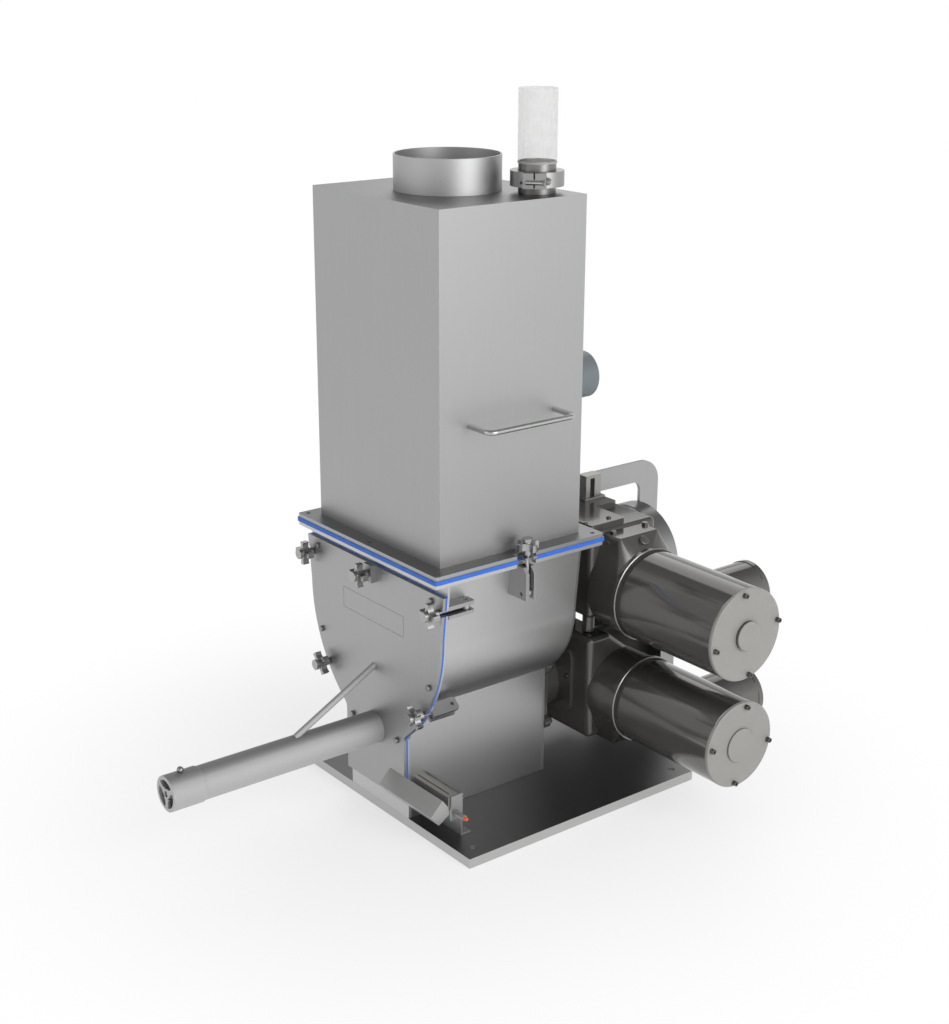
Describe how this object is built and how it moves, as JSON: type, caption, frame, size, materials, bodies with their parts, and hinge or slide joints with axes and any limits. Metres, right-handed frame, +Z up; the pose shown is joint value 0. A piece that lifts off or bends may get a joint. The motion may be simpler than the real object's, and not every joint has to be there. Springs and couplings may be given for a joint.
{
  "type": "screw feeder",
  "caption": "Screw feeder: rectangular hopper on an agitated trough, feed screw in a long front tube, hinged swing clamps, geared motors behind on a flat base.",
  "frame": {"origin": "point on the underside of the base plate, straight below the centre of the inlet", "axes": "+Z up along the inlet, -Y along the discharge tube, +X towards the motors"},
  "size_m": [0.812, 1.24, 1.426],
  "materials": {
    "sheet_steel": "brushed stainless sheet",
    "bright_steel": "fine ground stainless",
    "star_knobs": "bead blasted stainless castings",
    "vent_fittings": "dull stainless ferrules",
    "filter_cloth": "white filter mesh",
    "seal_blue": "smooth blue elastomer",
    "seal_white": "white plain bushes",
    "switch_paint": "blue-grey paint",
    "drive_castings": "rough dark grey paint",
    "motor_paint": "smooth dark grey paint",
    "cap_paint": "light grey paint",
    "switch_black": "black plastic",
    "sensor_orange": "orange window"
  },
  "bodies": {
    "machine": {"base_plate": "sheet_steel", "pedestal": "sheet_steel", "front_plate": "sheet_steel", "trough": "sheet_steel", "rear_plate": "sheet_steel", "hopper": "sheet_steel", "door_plate": "sheet_steel", "clamp_brackets": "sheet_steel", "lid_brackets": "sheet_steel", "rear_guard": "sheet_steel", "lift_arch": "sheet_steel", "interlock_bracket": "sheet_steel", "inlet_spigot": "bright_steel", "side_handles": "bright_steel", "vent_clamp_halves": "bright_steel", "vent_clamp_bolts": "bright_steel", "vent_clamp_nuts": "bright_steel", "level_mount": "bright_steel", "door_screws": "bright_steel", "feed_tube": "bright_steel", "outlet_sleeve": "bright_steel", "outlet_pin": "bright_steel", "pivot_pins": "bright_steel", "cap_screws": "bright_steel", "drive_screws": "bright_steel", "arch_bracket": "bright_steel", "interlock_hood": "bright_steel", "vent_stub": "vent_fittings", "vent_collar": "vent_fittings", "filter_sleeve": "filter_cloth", "flange_gasket": "seal_blue", "door_seal": "seal_blue", "shaft_seals": "seal_white", "level_head": "switch_paint", "upper_gearbox": "drive_castings", "lower_gearbox": "drive_castings", "upper_motor": "motor_paint", "lower_motor": "motor_paint", "terminal_boxes": "motor_paint", "upper_cap": "cap_paint", "lower_cap": "cap_paint", "interlock_switch": "switch_black", "sensor_tip": "sensor_orange"},
    "feed_screw": {"screw_shaft": "bright_steel", "screw_flight": "bright_steel"},
    "agitator": {"agitator": "bright_steel"},
    "level_paddle": {"level_paddle": "bright_steel"},
    "top_knob": {"top_knob": "star_knobs"},
    "door_bolt_1": {"door_bolt_1": "bright_steel"},
    "door_knob_1": {"door_knob_1": "star_knobs"},
    "door_bolt_2": {"door_bolt_2": "bright_steel"},
    "door_knob_2": {"door_knob_2": "star_knobs"},
    "door_bolt_3": {"door_bolt_3": "bright_steel"},
    "door_knob_3": {"door_knob_3": "star_knobs"},
    "door_bolt_4": {"door_bolt_4": "bright_steel"},
    "door_knob_4": {"door_knob_4": "star_knobs"},
    "lid_bolt_1": {"lid_bolt_1": "bright_steel"},
    "lid_knob_1": {"lid_knob_1": "star_knobs"},
    "lid_bolt_2": {"lid_bolt_2": "bright_steel"},
    "lid_knob_2": {"lid_knob_2": "star_knobs"}
  },
  "joints": [
    {"name": "screw_turn", "type": "hinge", "parent": "machine", "child": "feed_screw", "pos_m": [0, 0, 0.188], "axis": [0, 1, 0], "continuous": true},
    {"name": "agitator_turn", "type": "hinge", "parent": "machine", "child": "agitator", "pos_m": [0, 0, 0.414], "axis": [0, 1, 0], "continuous": true},
    {"name": "paddle_turn", "type": "hinge", "parent": "machine", "child": "level_paddle", "pos_m": [0.101, 0.16, 0.866], "axis": [0, 1, 0], "continuous": true},
    {"name": "top_knob_turn", "type": "hinge", "parent": "machine", "child": "top_knob", "pos_m": [0, -0.205, 0.518], "axis": [0, -1, 0], "continuous": true},
    {"name": "door_bolt_1_swing", "type": "hinge", "parent": "machine", "child": "door_bolt_1", "pos_m": [0.213, -0.12, 0.5], "axis": [0, 0, 1], "range_deg": [0, 120]},
    {"name": "door_knob_1_turn", "type": "hinge", "parent": "door_bolt_1", "child": "door_knob_1", "pos_m": [0.213, -0.195, 0.5], "axis": [0, -1, 0], "continuous": true},
    {"name": "door_bolt_2_swing", "type": "hinge", "parent": "machine", "child": "door_bolt_2", "pos_m": [0.16292, -0.12, 0.27386], "axis": [0.6521, 0, 0.7581], "range_deg": [0, 120]},
    {"name": "door_knob_2_turn", "type": "hinge", "parent": "door_bolt_2", "child": "door_knob_2", "pos_m": [0.16292, -0.195, 0.27386], "axis": [0, -1, 0], "continuous": true},
    {"name": "door_bolt_3_swing", "type": "hinge", "parent": "machine", "child": "door_bolt_3", "pos_m": [-0.213, -0.12, 0.5], "axis": [0, 0, -1], "range_deg": [0, 120]},
    {"name": "door_knob_3_turn", "type": "hinge", "parent": "door_bolt_3", "child": "door_knob_3", "pos_m": [-0.213, -0.195, 0.5], "axis": [0, -1, 0], "continuous": true},
    {"name": "door_bolt_4_swing", "type": "hinge", "parent": "machine", "child": "door_bolt_4", "pos_m": [-0.16292, -0.12, 0.27386], "axis": [0.6521, 0, -0.7581], "range_deg": [0, 120]},
    {"name": "door_knob_4_turn", "type": "hinge", "parent": "door_bolt_4", "child": "door_knob_4", "pos_m": [-0.16292, -0.195, 0.27386], "axis": [0, -1, 0], "continuous": true},
    {"name": "lid_bolt_1_swing", "type": "hinge", "parent": "machine", "child": "lid_bolt_1", "pos_m": [0.236, 0.0095, 0.502], "axis": [0, 1, 0], "range_deg": [0, 170]},
    {"name": "lid_knob_1_turn", "type": "hinge", "parent": "lid_bolt_1", "child": "lid_knob_1", "pos_m": [0.236, 0.0095, 0.59], "axis": [0, 0, 1], "continuous": true},
    {"name": "lid_bolt_2_swing", "type": "hinge", "parent": "machine", "child": "lid_bolt_2", "pos_m": [-0.236, 0.0095, 0.502], "axis": [0, -1, 0], "range_deg": [0, 170]},
    {"name": "lid_knob_2_turn", "type": "hinge", "parent": "lid_bolt_2", "child": "lid_knob_2", "pos_m": [-0.236, 0.0095, 0.59], "axis": [0, 0, 1], "continuous": true}
  ]
}
